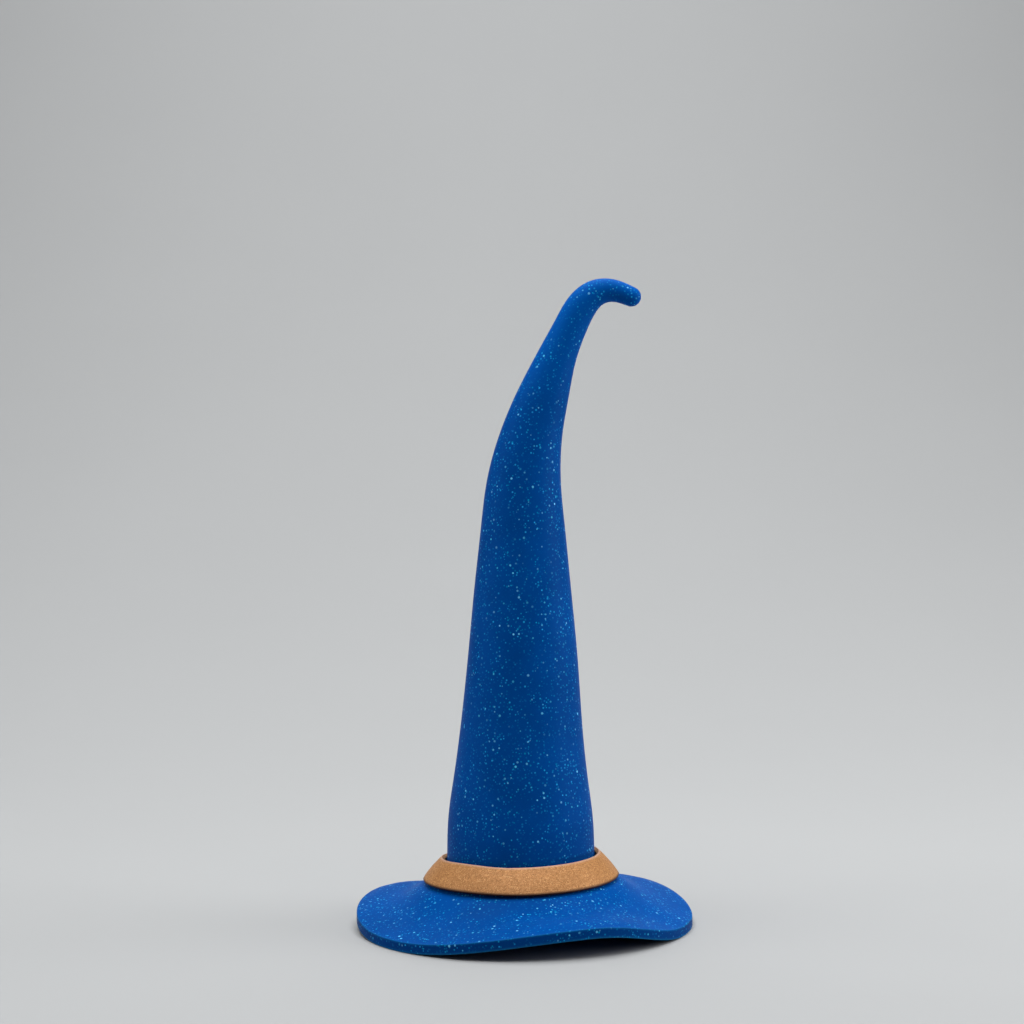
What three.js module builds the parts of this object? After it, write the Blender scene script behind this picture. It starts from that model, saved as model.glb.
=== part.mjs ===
import * as THREE from "three";

// A wizard hat of a doll's size: a stiff hollow shell with a bent peak, and a conical band around its crown.
// Millimetres, +Z up. The origin lies on the surface that the brim rests on, under the middle of the brim.

// Driving dimensions of the shell
const wall = 1.15;
const brimRadius = 21.85;
const rimThickness = 1.3;
const neckRadius = 12.8;
const neckTilt = THREE.MathUtils.degToRad(1.15);
const topRounding = 0.15;
const lowerRounding = 0.12;
const restWidth = 0.9;
const narrowestHollow = 0.9;

// Sections across the crown and the peak, from the foot up to the tip: middle and outer radius.
const crownSections = [
  { x: -0.38, z: 9.4, radius: 9.6 },
  { x: -0.36, z: 14, radius: 9.42 },
  { x: -0.27, z: 19, radius: 8.77 },
  { x: -0.08, z: 26, radius: 7.93 },
  { x: 0.17, z: 34.5, radius: 7.18 },
  { x: 0.27, z: 43.5, radius: 6.33 },
  { x: 0.4, z: 51.5, radius: 5.5 },
  { x: 0.57, z: 57, radius: 4.9 },
  { x: 1.15, z: 61.3, radius: 4.35 },
  { x: 2.1, z: 65.3, radius: 3.8 },
  { x: 3.4, z: 69.3, radius: 3.25 },
  { x: 5.2, z: 74.12, radius: 2.5 },
  { x: 6.96, z: 77.93, radius: 2.15 },
  { x: 8.52, z: 80.63, radius: 2 },
  { x: 10.12, z: 82, radius: 1.77 },
  { x: 12.12, z: 82.38, radius: 1.5 },
  { x: 14.8, z: 81.53, radius: 1.28 },
];

// The upper face of the brim along a line where its rim rests, from under the crown's foot outwards.
const brimSections = [
  { radius: 9.7, z: 8.3 },
  { radius: 10.2, z: 7.3 },
  { radius: 11.3, z: 6.5 },
  { radius: neckRadius, z: 5.7 },
  { radius: 15, z: 4.15 },
  { radius: 17.5, z: 2.8 },
  { radius: 20, z: 1.82 },
];

// The rim's wave: its lift above the height at which it rests. Angles in degrees, from +X towards +Y.
const rimWave = [
  { angle: -144, lift: 0 },
  { angle: -138, lift: 0 },
  { angle: -68, lift: 2.4 },
  { angle: -22.5, lift: 0 },
  { angle: -10, lift: 0 },
  { angle: 46, lift: 1.75 },
  { angle: 95, lift: 0 },
  { angle: 107, lift: 0 },
  { angle: 153, lift: 1.85 },
  { angle: 216, lift: 0 },
];

// Driving dimensions of the band, whose outer face flares downwards and whose inner face follows the shell.
const bandRimRadius = 10.29;
const bandRimHeight = 9.3;
const bandRimThickness = 0.3;
const bandFootRadius = 12.77;
const bandFootHeight = 6.3;
const bandBulge = 0.12;
const bandGap = 0.38;

// Fineness of the faces
const sides = 60;
const stepsPerSection = 2;
const stepsPerRounding = 3;
const bandSteps = 4;
const lengthStepsPerSection = 20;

// The crown's centre line, and the same sections with that line straightened above the foot.
const foot = crownSections[0];
const tip = crownSections.at(-1);
const centreLine = new THREE.CatmullRomCurve3(crownSections.map(({ x, z }) => new THREE.Vector3(x, 0, z)));
centreLine.arcLengthDivisions = lengthStepsPerSection * (crownSections.length - 1);
const lengths = centreLine.getLengths();
const crownLength = lengths.at(-1);
const straightCrown = crownSections.map(
  ({ radius }, row) => new THREE.Vector2(radius, foot.z + lengths[row * lengthStepsPerSection]),
);

// The shell's upper face as radius and height, from tip to rim, with the crown straight and the rim level.
const faceSections = [
  ...straightCrown.toReversed(),
  ...brimSections.map(({ radius, z }) => new THREE.Vector2(radius, z)),
  new THREE.Vector2(brimRadius - topRounding, rimThickness),
];
const face = new THREE.SplineCurve(faceSections).getPoints(stepsPerSection * (faceSections.length - 1));
const restStart = brimRadius - lowerRounding - restWidth;

// The same line moved to its right, seen in its own direction.
function offset(points, distance) {
  return points.map((point, i) => {
    const before = points[Math.max(i - 1, 0)];
    const after = points[Math.min(i + 1, points.length - 1)];
    const along = after.clone().sub(before).normalize();
    return new THREE.Vector2(point.x + along.y * distance, point.y - along.x * distance);
  });
}

// A clockwise quarter of a circle.
function rounding(middleX, middleY, radius, from) {
  const arc = new THREE.ArcCurve(middleX, middleY, radius, from, from - Math.PI / 2, true);
  return arc.getPoints(stepsPerRounding);
}

// A closed outline of radius and height, turned about the Z axis.
function turned(outline) {
  return new THREE.LatheGeometry(outline, sides).rotateX(Math.PI / 2);
}

// The rim's lift at an angle in radians, eased between the rows of the table.
function rimLift(angle) {
  const first = rimWave[0].angle;
  const degrees = first + THREE.MathUtils.euclideanModulo(THREE.MathUtils.radToDeg(angle) - first, 360);
  const next = rimWave.findIndex((row, i) => i > 0 && degrees <= row.angle);
  const before = rimWave[next - 1];
  const after = rimWave[next];
  const share = (1 - Math.cos((Math.PI * (degrees - before.angle)) / (after.angle - before.angle))) / 2;
  return before.lift + (after.lift - before.lift) * share;
}

// Moves a point of the straight crown to the bent centre line.
function followCentreLine(point) {
  const along = (point.z - foot.z) / crownLength;
  const tangent = centreLine.getTangentAt(Math.min(along, 1));
  const middle = centreLine.getPointAt(Math.min(along, 1));
  middle.addScaledVector(tangent, Math.max(along - 1, 0) * crownLength);
  point.set(middle.x + point.x * tangent.z, point.y, middle.z - point.x * tangent.x);
}

// Moves a point of the level brim: near the neck it shifts and tilts with the band, and outwards it waves.
function followRim(point) {
  const rise = THREE.MathUtils.smoothstep(Math.hypot(point.x, point.y), neckRadius, restStart);
  const belowFoot = 1 - THREE.MathUtils.smoothstep(point.z, bandFootHeight, foot.z);
  const lift = rimLift(Math.atan2(point.y, point.x)) * rise;
  const tilt = Math.tan(neckTilt) * point.x * belowFoot * (1 - rise);
  point.set(point.x + foot.x * (1 - rise), point.y, point.z + lift + tilt);
}

// The shell: its outline is turned while it is straight and level, and then bent.
function shellGeometry() {
  const inside = offset(faceSections, wall);
  const hollow = inside.filter(({ x, y }) => x > narrowestHollow && x < restStart && y > 0);
  const hollowEnd = new THREE.Vector2(0, hollow[0].y + hollow[0].x);
  const outline = [
    ...rounding(0, straightCrown.at(-1).y, tip.radius, Math.PI / 2).slice(0, -1),
    ...face.slice(0, -1),
    ...rounding(brimRadius - topRounding, rimThickness - topRounding, topRounding, Math.PI / 2),
    ...rounding(brimRadius - lowerRounding, lowerRounding, lowerRounding, 0),
    new THREE.Vector2(restStart, 0),
    ...hollow.toReversed(),
    hollowEnd,
  ];
  const geometry = turned(outline.toReversed());
  const position = geometry.getAttribute("position");
  const point = new THREE.Vector3();
  for (let i = 0; i < position.count; i++) {
    point.fromBufferAttribute(position, i);
    if (point.z > foot.z) followCentreLine(point);
    else followRim(point);
    position.setXYZ(i, point.x, point.y, point.z);
  }
  geometry.computeVertexNormals();
  return geometry;
}

// The band, with its foot at height 0: its inner face lies a steady gap off the shell's face.
function bandGeometry() {
  const height = bandRimHeight - bandFootHeight;
  const flare = bandFootRadius - bandRimRadius;
  const base = new THREE.Vector2(bandFootRadius, 0);
  const rim = new THREE.Vector2(bandRimRadius, height);
  const middle = base.clone().lerp(rim, 0.5);
  const outward = new THREE.Vector2(height, flare).normalize();
  const outer = new THREE.QuadraticBezierCurve(base, middle.addScaledVector(outward, 2 * bandBulge), rim);
  const inner = offset(face, -bandGap)
    .filter(({ x, y }) => y < bandRimHeight && x < bandFootRadius - bandRimThickness)
    .map(({ x, y }) => new THREE.Vector2(x, y - bandFootHeight));
  const rimInside = new THREE.Vector2(bandRimRadius - bandRimThickness, height);
  return turned([...outer.getPoints(bandSteps), rimInside, ...inner, base]);
}

const blueGlitter = new THREE.MeshStandardMaterial({ color: 0x0a4a9c, roughness: 0.5, metalness: 0 });
const bronze = new THREE.MeshStandardMaterial({ color: 0xb98452, roughness: 0.45, metalness: 0.5 });

const shell = new THREE.Mesh(shellGeometry(), blueGlitter);
shell.name = "hat_shell";

const band = new THREE.Mesh(bandGeometry(), bronze);
band.name = "hat_band";
band.position.set(foot.x, 0, bandFootHeight);
band.rotation.y = -neckTilt;

const hat = new THREE.Group();
hat.add(shell, band);
export default hat;
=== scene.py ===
"""The looks of a doll's wizard hat: a stiff blue shell full of glitter, with a bent peak and a bronze band."""
import math

import bpy
import numpy as np
from mathutils import Matrix, Vector


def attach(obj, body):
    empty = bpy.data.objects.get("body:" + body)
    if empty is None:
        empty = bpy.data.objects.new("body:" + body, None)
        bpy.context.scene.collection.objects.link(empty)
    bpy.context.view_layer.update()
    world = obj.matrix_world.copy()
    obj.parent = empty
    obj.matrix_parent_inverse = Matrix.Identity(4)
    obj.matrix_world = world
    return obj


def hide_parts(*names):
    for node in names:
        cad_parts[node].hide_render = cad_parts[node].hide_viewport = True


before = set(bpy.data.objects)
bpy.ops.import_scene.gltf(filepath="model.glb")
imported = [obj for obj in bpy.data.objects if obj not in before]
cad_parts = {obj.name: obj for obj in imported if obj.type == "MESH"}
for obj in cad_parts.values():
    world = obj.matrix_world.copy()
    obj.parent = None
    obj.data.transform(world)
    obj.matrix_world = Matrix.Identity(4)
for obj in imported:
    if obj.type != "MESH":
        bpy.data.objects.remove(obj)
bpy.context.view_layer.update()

MM = 0.001
PICTURE = 1024

# Driving dimensions of the shell, in millimetres
WALL = 1.15
BRIM_RADIUS = 21.85
RIM_THICKNESS = 1.3
NECK_RADIUS = 12.8
NECK_TILT = math.radians(1.15)
TOP_ROUNDING = 0.15
LOWER_ROUNDING = 0.12
REST_WIDTH = 0.9
NARROWEST_HOLLOW = 0.9
LAST_FREE_UNDERSIDE = 19.6
REST_START = BRIM_RADIUS - LOWER_ROUNDING - REST_WIDTH

# Sections across the crown and the peak, from the foot up to the tip: middle x and z, and outer radius
CROWN_SECTIONS = [
    (-0.38, 9.4, 9.6),
    (-0.36, 14, 9.42),
    (-0.27, 19, 8.77),
    (-0.08, 26, 7.93),
    (0.17, 34.5, 7.18),
    (0.27, 43.5, 6.33),
    (0.4, 51.5, 5.5),
    (0.57, 57, 4.9),
    (1.15, 61.3, 4.35),
    (2.1, 65.3, 3.8),
    (3.4, 69.3, 3.25),
    (5.2, 74.12, 2.5),
    (6.96, 77.93, 2.15),
    (8.52, 80.63, 2.0),
    (10.12, 82, 1.77),
    (12.12, 82.38, 1.5),
    (14.8, 81.53, 1.28),
]

# The upper face of the brim along a line where its rim rests: radius and z
BRIM_SECTIONS = [(9.7, 8.3), (10.2, 7.3), (11.3, 6.5), (NECK_RADIUS, 5.7), (15, 4.15), (17.5, 2.8), (20, 1.82)]

# The rim's wave: angle in degrees from +X towards +Y, and lift above the height at which the rim rests
RIM_WAVE = [
    (-144, 0),
    (-138, 0),
    (-68, 2.4),
    (-22.5, 0),
    (-10, 0),
    (46, 1.75),
    (95, 0),
    (107, 0),
    (153, 1.85),
    (216, 0),
]

# Driving dimensions of the band, in millimetres
BAND_RIM_RADIUS = 10.29
BAND_RIM_HEIGHT = 9.3
BAND_RIM_THICKNESS = 0.3
BAND_FOOT_RADIUS = 12.77
BAND_FOOT_HEIGHT = 6.3
BAND_BULGE = 0.12
BAND_GAP = 0.38
BAND_ROUNDING = 0.07
BAND_LIP_DEPTH = 0.4
BAND_LIP_RADIUS = 9.86
BAND_FOOT_CHAMFER = 0.22

# The band's foot and rim bend a little out of their planes: angle in degrees from +X towards +Y, and lift
BAND_FOOT_WAVE = [
    (-180, 0.1),
    (-130, 0.24),
    (-80, 0),
    (120, 0),
    (180, 0.1),
]
BAND_RIM_WAVE = [
    (-180, -0.12),
    (-130, 0.22),
    (-95, 0),
    (95, 0),
    (152, -0.42),
    (180, -0.12),
]

# Fineness of the meshes
SIDES = 160
ROWS_PER_SECTION = 12
ROWS_PER_ROUNDING = 6
HOLLOW_EVERY = 3
BAND_ROWS = 12
RIM_FACE_ROWS = 6

# Corners that turn more than this are rounded, over at most this share of the lines beside them
SHARP_TURN = math.radians(25)
LONGEST_ROUNDING = 0.49

# How far the painted highlight lines and the painted shade lines reach, in millimetres, and how strong two of
# them are
RIM_HIGHLIGHT_REACH = 0.24
UPPER_EDGE_HIGHLIGHT = 0.4
BAND_HIGHLIGHT_REACH = 0.15
CREASE_REACH = 0.5
BAND_FOOT_SHADE = (0.13, 0.29)
RIM_FACE_SHADE = 0.35

# Painted light: the peak's colour grows lighter between these heights
PALE_FROM, PALE_TO = 64, 80


def smoothstep(value, low, high):
    share = np.clip((value - low) / (high - low), 0, 1)
    return share * share * (3 - 2 * share)


def natural_spline(knots, values):
    """Second derivatives at the knots of the smooth curve through the values, a column for each coordinate."""
    gaps = np.diff(knots)
    slopes = np.diff(values, axis=0) / gaps[:, None]
    matrix = np.eye(len(knots))
    right = np.zeros_like(values)
    for row in range(1, len(knots) - 1):
        matrix[row, row - 1:row + 2] = gaps[row - 1], 2 * (gaps[row - 1] + gaps[row]), gaps[row]
        right[row] = 6 * (slopes[row] - slopes[row - 1])
    return np.linalg.solve(matrix, right)


class Spline:
    """A smooth curve through points, followed by the length of the chords between them."""

    def __init__(self, points, path=None):
        self.points = np.array(points, float)
        path = self.points if path is None else np.array(path, float)
        chords = np.linalg.norm(np.diff(path, axis=0), axis=1)
        self.knots = np.concatenate([[0], np.cumsum(chords)])
        self.bends = natural_spline(self.knots, self.points)

    def at(self, place):
        """The points at those places, and the curve's direction there."""
        place = np.asarray(place, float)
        i = np.clip(np.searchsorted(self.knots, place, side="right") - 1, 0, len(self.knots) - 2)
        gap = (self.knots[i + 1] - self.knots[i])[..., None]
        after = (place - self.knots[i])[..., None] / gap
        before = 1 - after
        low, high = self.points[i], self.points[i + 1]
        bend_low, bend_high = self.bends[i], self.bends[i + 1]
        bowed = (before**3 - before) * bend_low + (after**3 - after) * bend_high
        point = before * low + after * high + bowed * gap**2 / 6
        turned = (3 * after**2 - 1) * bend_high - (3 * before**2 - 1) * bend_low
        direction = (high - low) / gap + turned * gap / 6
        return point, direction

    def places(self, steps):
        """Places along the curve with that many steps between neighbouring points."""
        count = len(self.knots)
        return np.interp(np.arange(steps * (count - 1) + 1) / steps, range(count), self.knots)


crown = Spline([(x, z, radius) for x, z, radius in CROWN_SECTIONS], path=[(x, z) for x, z, _ in CROWN_SECTIONS])
FOOT_X, FOOT_Z, _ = CROWN_SECTIONS[0]
TIP_RADIUS = CROWN_SECTIONS[-1][2]
CROWN_LENGTH = crown.knots[-1]

# The shell's upper face as radius and height, from tip to rim, with the crown straight and the rim level
straight_crown = [(radius, FOOT_Z + along) for (_, _, radius), along in zip(CROWN_SECTIONS, crown.knots)]
face = Spline(straight_crown[::-1] + BRIM_SECTIONS + [(BRIM_RADIUS - TOP_ROUNDING, RIM_THICKNESS)])
face_points, face_directions = face.at(face.places(ROWS_PER_SECTION))


def offset(points, directions, distance):
    """A line of radii and heights moved to its right, seen in its own direction."""
    along = directions / np.linalg.norm(directions, axis=1)[:, None]
    return points + distance * np.stack([along[:, 1], -along[:, 0]], axis=1)


def rounding(middle, radius, first, last):
    """An arc of a circle from one angle to another, in degrees."""
    turn = np.radians(np.linspace(first, last, ROWS_PER_ROUNDING + 1))
    return np.array(middle) + radius * np.stack([np.cos(turn), np.sin(turn)], axis=1)


def rounded(points, radius):
    """A closed line of points whose sharp corners are turned into short curves."""
    made = []
    for before, corner, after in zip(np.roll(points, 1, 0), points, np.roll(points, -1, 0)):
        back, on = before - corner, after - corner
        turn = math.pi - math.acos(np.clip(back @ on / np.linalg.norm(back) / np.linalg.norm(on), -1, 1))
        if turn < SHARP_TURN:
            made.append(corner)
            continue
        reach = radius * math.tan(turn / 2)
        start = corner + back * min(reach / np.linalg.norm(back), LONGEST_ROUNDING)
        end = corner + on * min(reach / np.linalg.norm(on), LONGEST_ROUNDING)
        for share in np.linspace(0, 1, ROWS_PER_ROUNDING + 1):
            made.append((1 - share) ** 2 * start + 2 * share * (1 - share) * corner + share**2 * end)
    return np.array(made)


def lift_at(angle, wave):
    """The lift at angles in radians, eased between the rows of a wave."""
    angles, lifts = np.array(wave, float).T
    degrees = angles[0] + (np.degrees(angle) - angles[0]) % 360
    after = np.clip(np.searchsorted(angles, degrees), 1, len(angles) - 1)
    share = (degrees - angles[after - 1]) / (angles[after] - angles[after - 1])
    return lifts[after - 1] + (lifts[after] - lifts[after - 1]) * (1 - np.cos(np.pi * share)) / 2


def follow_centre_line(x, y, height):
    """Points of the straight crown, moved to the bent centre line."""
    along = height - FOOT_Z
    middle, direction = crown.at(np.clip(along, 0, CROWN_LENGTH))
    tangent = direction[..., :2] / np.linalg.norm(direction[..., :2], axis=-1)[..., None]
    beyond = np.maximum(along - CROWN_LENGTH, 0)
    middle_x = middle[..., 0] + beyond * tangent[..., 0]
    middle_z = middle[..., 1] + beyond * tangent[..., 1]
    return middle_x + x * tangent[..., 1], y, middle_z - x * tangent[..., 0]


def follow_rim(x, y, height):
    """Points of the level brim: near the neck they shift and tilt with the band, and outwards they wave."""
    rise = smoothstep(np.hypot(x, y), NECK_RADIUS, REST_START)
    below_foot = 1 - smoothstep(height, BAND_FOOT_HEIGHT, FOOT_Z)
    tilt = math.tan(NECK_TILT) * x * below_foot * (1 - rise)
    return x + FOOT_X * (1 - rise), y, height + lift_at(np.arctan2(y, x), RIM_WAVE) * rise + tilt


def turned(outline):
    """The x, y and height of a line of radii and heights turned about the Z axis, a row for each point."""
    angle = np.linspace(0, 2 * np.pi, SIDES, endpoint=False)
    radius, height = outline[:, :1], outline[:, 1:]
    return radius * np.cos(angle), radius * np.sin(angle), height + 0 * angle


def skin(name, rows, marks, poles=(), closed=False):
    """A mesh object over rings of points in millimetres, with a pole at each end or joined end to end.

    marks holds named values for its materials, one for each ring or each point.
    """
    x, y, z = rows
    count, sides = x.shape
    points = np.stack([x, y, z], axis=2).reshape(-1, 3) * MM
    ring = np.arange(sides)
    after = (ring + 1) % sides
    faces = []
    for row in range(count if closed else count - 1):
        low, high = row * sides, (row + 1) % count * sides
        faces += np.stack([low + ring, low + after, high + after, high + ring], axis=1).tolist()
    for pole, row in zip(poles, (0, count - 1)):
        here = len(points)
        points = np.vstack([points, np.array(pole) * MM])
        edge = [ring + row * sides, after + row * sides]
        first, second = edge if row else edge[::-1]
        faces += np.stack([first, second, here + 0 * ring], axis=1).tolist()
    mesh = bpy.data.meshes.new(name)
    mesh.from_pydata(points.tolist(), [], faces)
    mesh.polygons.foreach_set("use_smooth", [True] * len(mesh.polygons))
    for mark, values in marks.items():
        spread = np.zeros(len(points))
        spread[:count * sides] = np.broadcast_to(values.reshape(count, -1), (count, sides)).ravel()
        mesh.attributes.new(mark, "FLOAT", "POINT").data.foreach_set("value", spread)
    mesh.update()
    piece = bpy.data.objects.new(name, mesh)
    bpy.context.scene.collection.objects.link(piece)
    return piece


def near(outline, corner, reach):
    """How near each point of an outline is to a corner: 1 at it, and 0 beyond the reach."""
    return 1 - smoothstep(np.hypot(*(outline - corner).T), 0, reach)


def shell_piece():
    """Crown, peak and brim with their hollow: drawn straight and level, turned, and then bent."""
    underside = offset(face_points, face_directions, WALL)[::HOLLOW_EVERY]
    radius, height = underside.T
    free = (radius > NARROWEST_HOLLOW) & (radius < LAST_FREE_UNDERSIDE) & (height > 0)
    underside = underside[free][::-1]
    end_radius, end_height = underside[-1]
    rim_top = RIM_THICKNESS - TOP_ROUNDING
    rim_face = np.linspace((BRIM_RADIUS, rim_top), (BRIM_RADIUS, LOWER_ROUNDING), RIM_FACE_ROWS + 1)
    outline = np.vstack([
        rounding((0, straight_crown[-1][1]), TIP_RADIUS, 90, 0)[1:],
        face_points[1:-1],
        rounding((BRIM_RADIUS - TOP_ROUNDING, rim_top), TOP_ROUNDING, 90, 0),
        rim_face[1:-1],
        rounding((BRIM_RADIUS - LOWER_ROUNDING, LOWER_ROUNDING), LOWER_ROUNDING, 0, -90),
        [(REST_START, 0)],
        underside,
        rounding((0, end_height), end_radius, 0, 90)[1:-1],
    ])
    x, y, height = turned(outline)
    on_crown = height > FOOT_Z
    crown_points = follow_centre_line(x, y, height)
    rim_points = follow_rim(x, y, height)
    rows = [np.where(on_crown, a, b) for a, b in zip(crown_points, rim_points)]
    tops = straight_crown[-1][1] + TIP_RADIUS, end_height + end_radius
    poles = [follow_centre_line(0, 0, np.array(top)) for top in tops]
    # Painted shade in the crease on the crown just above the band's rim, and on the rim's outer face
    band_tilt = math.tan(NECK_TILT) * (rows[0] - FOOT_X)
    band_rim = BAND_RIM_HEIGHT + band_tilt + lift_at(np.arctan2(y, x), BAND_RIM_WAVE)
    above_band = rows[2] - band_rim
    crease_shade = (1 - smoothstep(above_band, 0, CREASE_REACH)) * (np.hypot(x, y) < BAND_RIM_RADIUS) * on_crown
    face_shade = RIM_FACE_SHADE * smoothstep(outline[:, :1], BRIM_RADIUS - TOP_ROUNDING, BRIM_RADIUS)
    # Painted highlights: light lines along the rim's lower and upper edges
    lower_edge = near(outline, (BRIM_RADIUS, 0), RIM_HIGHLIGHT_REACH)
    upper_edge = near(outline, (BRIM_RADIUS, RIM_THICKNESS), RIM_HIGHLIGHT_REACH)
    marks = {
        "painted_highlight": lower_edge + UPPER_EDGE_HIGHLIGHT * upper_edge,
        "shade": np.maximum(crease_shade, face_shade),
        # Painted light on the peak
        "pale": smoothstep(rows[2], PALE_FROM, PALE_TO),
    }
    return skin("shell", rows, marks, poles)


def band_piece():
    """The band: its outer face bulges a little, and its inner face lies a steady gap off the shell's face."""
    height = BAND_RIM_HEIGHT - BAND_FOOT_HEIGHT
    base, rim = np.array([BAND_FOOT_RADIUS, 0]), np.array([BAND_RIM_RADIUS, height])
    under = base - BAND_FOOT_CHAMFER
    outward = np.array([rim[1] - base[1], base[0] - rim[0]]) / np.linalg.norm(rim - base)
    share = np.linspace(0, 1, BAND_ROWS + 1)[:, None]
    flank = base + (rim - base) * share + 4 * BAND_BULGE * share * (1 - share) * outward
    inner = offset(face_points, face_directions, -BAND_GAP)[::HOLLOW_EVERY]
    below_lip = inner[:, 1] < BAND_RIM_HEIGHT - BAND_LIP_DEPTH
    inside_foot = inner[:, 0] < BAND_FOOT_RADIUS - BAND_RIM_THICKNESS
    inner = inner[below_lip & inside_foot] - [0, BAND_FOOT_HEIGHT]
    inner = inner[inner[:, 1] > under[1] + BAND_ROUNDING]
    lip = [(BAND_RIM_RADIUS - BAND_ROUNDING, height), (BAND_LIP_RADIUS, height - BAND_LIP_DEPTH)]
    outline = rounded(np.vstack([flank, lip, inner, [under]]), BAND_ROUNDING)
    outline = outline[::-1]
    # Painted shade along the band's under edge
    on_foot = 1 - smoothstep(outline[:, 1], *BAND_FOOT_SHADE)
    # Painted highlight along the band's rim
    marks = {"painted_highlight": near(outline, rim, BAND_HIGHLIGHT_REACH), "shade": on_foot}
    x, y, z = turned(outline)
    foot_lift, rim_lift = (lift_at(np.arctan2(y, x), wave) for wave in (BAND_FOOT_WAVE, BAND_RIM_WAVE))
    z = z + foot_lift + (rim_lift - foot_lift) * smoothstep(z, 0, height)
    piece = skin("band", (x, y, z), marks, closed=True)
    place = Matrix.Translation(Vector((FOOT_X, 0, BAND_FOOT_HEIGHT)) * MM)
    piece.data.transform(place @ Matrix.Rotation(-NECK_TILT, 4, "Y"))
    return piece


class Nodes:
    """Short calls for a material's nodes."""

    def __init__(self, name):
        self.material = bpy.data.materials.new(name)
        self.material.use_nodes = True
        self.tree = self.material.node_tree
        self.surface = self.tree.nodes["Principled BSDF"]
        self.place = self.tree.nodes.new("ShaderNodeTexCoord").outputs["Object"]

    def add(self, kind, values=(), **settings):
        """A node with those settings, and its inputs filled by name or number with values or outputs."""
        node = self.tree.nodes.new("ShaderNode" + kind)
        for key, value in settings.items():
            setattr(node, key, value)
        for key, value in dict(values).items():
            self.fill(node.inputs[key], value)
        return node

    def fill(self, socket, value):
        if isinstance(value, bpy.types.NodeSocket):
            self.tree.links.new(value, socket)
        else:
            socket.default_value = value

    def math(self, operation, *values):
        return self.add("Math", dict(enumerate(values)), operation=operation).outputs[0]

    def ease(self, value, low, high, to_low=0.0, to_high=1.0):
        """value's stretch from low to high taken smoothly to the stretch from to_low to to_high."""
        values = {"Value": value, "From Min": low, "From Max": high, "To Min": to_low, "To Max": to_high}
        return self.add("MapRange", values, interpolation_type="SMOOTHSTEP").outputs["Result"]

    def mix(self, share, a, b):
        """Two colours mixed."""
        node = self.add("Mix", data_type="RGBA")
        self.fill(node.inputs[0], share)
        self.fill(node.inputs[6], a)
        self.fill(node.inputs[7], b)
        return node.outputs[2]

    def noise(self, size_mm, detail, place=None):
        values = {"Vector": place or self.place, "Scale": 1 / (size_mm * MM), "Detail": detail}
        return self.add("TexNoise", values).outputs["Fac"]

    def cells(self, size_mm):
        """Distance to the nearest scattered point, in millimetres, and a random colour for each point."""
        node = self.add("TexVoronoi", {"Vector": self.place, "Scale": 1 / (size_mm * MM)})
        return self.math("MULTIPLY", node.outputs["Distance"], size_mm), node.outputs["Color"]

    def channels(self, colour):
        return self.add("SeparateColor", {"Color": colour}).outputs

    def mark(self, name):
        """A value that the mesh carries."""
        return self.add("Attribute", attribute_name=name).outputs["Fac"]

    def bump(self, height, depth_mm, strength):
        values = {"Height": height, "Distance": depth_mm * MM, "Strength": strength}
        return self.add("Bump", values).outputs["Normal"]


def flecks(nodes, spacing_mm, radius_mm, dimmest, power):
    """One scatter of flecks: how much of a fleck shows at each place, from 0 to 1, and a random value each."""
    distance, colour = nodes.cells(spacing_mm)
    first, second, third = nodes.channels(colour)
    radius = nodes.ease(second, 0, 1, radius_mm * 0.75, radius_mm * 1.25)
    shape = nodes.ease(nodes.math("DIVIDE", distance, radius), 1.15, 0.5)
    bright = nodes.math("MULTIPLY_ADD", nodes.math("POWER", first, power), 1 - dimmest, dimmest)
    return nodes.math("MULTIPLY", shape, bright), third


def glitter_blue():
    """Deep blue stiff plastic, full of small pale cyan flecks that lie at and just under its surface."""
    nodes = Nodes("glitter_blue")
    cloud = nodes.noise(7.0, 3.0)
    ground = nodes.mix(nodes.ease(cloud, 0.3, 0.7), (0, 0.05, 0.238, 1), (0, 0.059, 0.278, 1))
    # Painted light: the peak's colour grows lighter with height
    ground = nodes.mix(nodes.mark("pale"), ground, (0, 0.07, 0.32, 1))
    # Painted shade: darker in the crease above the band and on the rim's outer face
    ground = nodes.mix(nodes.mark("shade"), ground, (0, 0.012, 0.06, 1))
    # Painted highlight: a light teal line along the rim's edges
    ground = nodes.mix(nodes.math("MULTIPLY", nodes.mark("painted_highlight"), 0.55), ground, (0.015, 0.22, 0.45, 1))
    swarm = nodes.ease(nodes.noise(2.6, 2.0), 0.36, 0.62, 0.35, 1.15)
    fine, fine_tint = flecks(nodes, 0.39, 0.115, 0.15, 1.7)
    large, large_tint = flecks(nodes, 0.9, 0.145, 0.35, 1.6)
    fine = nodes.math("MULTIPLY", fine, swarm)
    large = nodes.math("MULTIPLY", large, swarm)
    fine_colour = nodes.mix(fine_tint, (0, 0.27, 0.5, 1), (0.02, 0.35, 0.8, 1))
    large_colour = nodes.mix(large_tint, (0.04, 0.52, 0.8, 1), (0.17, 0.6, 1, 1))
    colour = nodes.mix(large, nodes.mix(fine, ground, fine_colour), large_colour)
    nodes.fill(nodes.surface.inputs["Base Color"], colour)
    shine = nodes.math("MAXIMUM", fine, large)
    nodes.fill(nodes.surface.inputs["Roughness"], nodes.ease(shine, 0, 1, 0.46, 0.3))
    nodes.fill(nodes.surface.inputs["Normal"], nodes.bump(nodes.noise(0.35, 3.0), 0.01, 0.5))
    nodes.surface.inputs["Specular IOR Level"].default_value = 0.014
    return nodes.material


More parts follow.
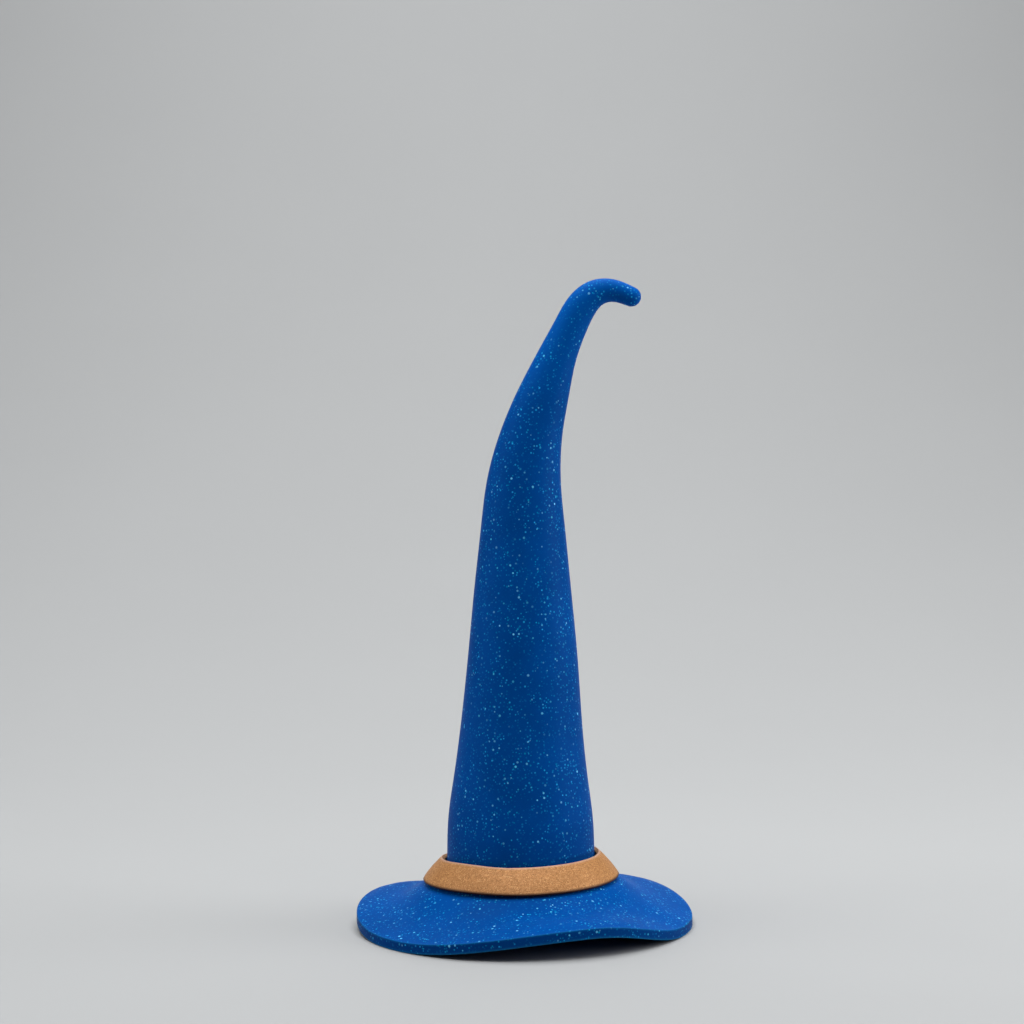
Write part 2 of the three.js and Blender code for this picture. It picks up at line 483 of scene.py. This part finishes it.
def bronze():
    """Satin bronze with a fine grain, faint streaks around the band, a painted highlight along the rim and
    painted shade along the under edge.
    """
    nodes = Nodes("bronze")
    _, grain_colour = nodes.cells(0.12)
    grain, spark, _ = nodes.channels(grain_colour)
    around = nodes.add("Mapping", {"Vector": nodes.place, "Scale": (0.08, 0.08, 1.0)}).outputs["Vector"]
    streaks = nodes.noise(0.35, 3.0, around)
    colour = nodes.mix(grain, (0.255, 0.11, 0.032, 1), (0.5, 0.23, 0.074, 1))
    colour = nodes.mix(nodes.ease(spark, 0.78, 1.0, 0.0, 0.62), colour, (0.68, 0.38, 0.15, 1))
    colour = nodes.mix(nodes.ease(streaks, 0.35, 0.7, 0.0, 0.35), colour, (0.33, 0.145, 0.046, 1))
    # Painted highlight: a pale line along the band's rim
    colour = nodes.mix(nodes.math("MULTIPLY", nodes.mark("painted_highlight"), 0.6), colour, (0.6, 0.4, 0.32, 1))
    # Painted shade: dark brown along the band's under edge
    colour = nodes.mix(nodes.mark("shade"), colour, (0.06, 0.018, 0.005, 1))
    nodes.fill(nodes.surface.inputs["Base Color"], colour)
    nodes.fill(nodes.surface.inputs["Roughness"], nodes.ease(grain, 0, 1, 0.6, 0.48))
    nodes.fill(nodes.surface.inputs["Normal"], nodes.bump(grain, 0.01, 0.4))
    nodes.surface.inputs["Metallic"].default_value = 0.2
    nodes.surface.inputs["Specular IOR Level"].default_value = 0.3
    return nodes.material


def paper():
    """Pale matt paper of the floor and the sweep behind it."""
    nodes = Nodes("paper")
    tone = nodes.mix(nodes.noise(60.0, 2.0), (0.335, 0.342, 0.346, 1), (0.345, 0.352, 0.356, 1))
    nodes.fill(nodes.surface.inputs["Base Color"], tone)
    nodes.surface.inputs["Roughness"].default_value = 0.9
    nodes.surface.inputs["Specular IOR Level"].default_value = 0.1
    return nodes.material


def dress(piece, material, node):
    """Gives a piece its material, and puts it in the place of its CAD node."""
    piece.data.materials.append(material)
    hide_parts(node)
    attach(piece, "root")


dress(shell_piece(), glitter_blue(), "hat_shell")
dress(band_piece(), bronze(), "hat_band")

# The floor, which rises behind the hat in one sweep
FLOOR_FRONT = -460
FLOOR_BACK = 120
SWEEP_RADIUS = 520
WALL_TOP = 1100
FLOOR_HALF_WIDTH = 460
SWEEP_STEPS = 32


def backdrop():
    turn = np.radians(np.linspace(-90, 0, SWEEP_STEPS + 1))
    sweep = np.stack([FLOOR_BACK + SWEEP_RADIUS * np.cos(turn), SWEEP_RADIUS * (1 + np.sin(turn))], axis=1)
    line = np.vstack([[(FLOOR_FRONT, 0)], sweep, [(FLOOR_BACK + SWEEP_RADIUS, WALL_TOP)]])
    points = [(side * FLOOR_HALF_WIDTH * MM, y * MM, z * MM) for y, z in line for side in (-1, 1)]
    faces = [(2 * i, 2 * i + 1, 2 * i + 3, 2 * i + 2) for i in range(len(line) - 1)]
    mesh = bpy.data.meshes.new("floor")
    mesh.from_pydata(points, [], faces)
    mesh.polygons.foreach_set("use_smooth", [True] * len(faces))
    floor = bpy.data.objects.new("floor", mesh)
    bpy.context.scene.collection.objects.link(floor)
    mesh.materials.append(paper())


backdrop()


def soft_light(name, place, target, size, power):
    """A square soft light, with its place, aim and size in millimetres and its power in watts."""
    light = bpy.data.lights.new(name, "AREA")
    light.shape = "SQUARE"
    light.size = size * MM
    light.energy = power
    lamp = bpy.data.objects.new(name, light)
    lamp.location = Vector(place) * MM
    lamp.rotation_euler = (Vector(target) - Vector(place)).to_track_quat("-Z", "Y").to_euler()
    bpy.context.scene.collection.objects.link(lamp)


HAT_MIDDLE = (0, 0, 40)
soft_light("top", (0, 0, 360), HAT_MIDDLE, 380, 1.9)
soft_light("front", (0, -130, 270), (0, 0, 70), 160, 0.13)
soft_light("left", (-450, -20, 230), HAT_MIDDLE, 400, 0.92)
soft_light("right", (450, 30, 230), HAT_MIDDLE, 400, 0.6)
soft_light("low right", (300, -20, 120), (0, 0, 60), 200, 0.47)
soft_light("backdrop", (0, 330, 600), (0, 640, 250), 400, 2.75)


def studio():
    """Dim light from the room all around, which looks as pale as the sweep wherever the floor ends."""
    world = bpy.data.worlds.new("studio")
    world.use_nodes = True
    tree = world.node_tree
    room = tree.nodes["Background"]
    room.inputs["Color"].default_value = (0.9, 0.95, 1, 1)
    room.inputs["Strength"].default_value = 0.02
    seen = tree.nodes.new("ShaderNodeBackground")
    seen.inputs["Color"].default_value = (0.98, 0.99, 1, 1)
    seen.inputs["Strength"].default_value = 0.5
    path = tree.nodes.new("ShaderNodeLightPath")
    choice = tree.nodes.new("ShaderNodeMixShader")
    tree.links.new(path.outputs["Is Camera Ray"], choice.inputs["Fac"])
    tree.links.new(room.outputs["Background"], choice.inputs[1])
    tree.links.new(seen.outputs["Background"], choice.inputs[2])
    tree.links.new(choice.outputs["Shader"], tree.nodes["World Output"].inputs["Surface"])
    bpy.context.scene.world = world


studio()

# The camera, where the photograph's stood
FOCAL_PIXELS = 2200
SENSOR_WIDTH = 36
CAMERA_PLACE = (-0.99, -285.7, 61.8)
CAMERA_DOWN = math.radians(1.6)
CAMERA_ROLL = math.radians(-0.7)

lens = bpy.data.cameras.new("camera")
lens.sensor_width = SENSOR_WIDTH
lens.lens = SENSOR_WIDTH * FOCAL_PIXELS / PICTURE
lens.clip_start = 0.01
camera = bpy.data.objects.new("camera", lens)
aim = Matrix.Rotation(math.pi / 2 - CAMERA_DOWN, 4, "X") @ Matrix.Rotation(CAMERA_ROLL, 4, "Z")
camera.matrix_world = Matrix.Translation(Vector(CAMERA_PLACE) * MM) @ aim
bpy.context.scene.collection.objects.link(camera)
bpy.context.scene.camera = camera
bpy.context.scene.view_settings.view_transform = "Standard"

bpy.context.view_layer.update()
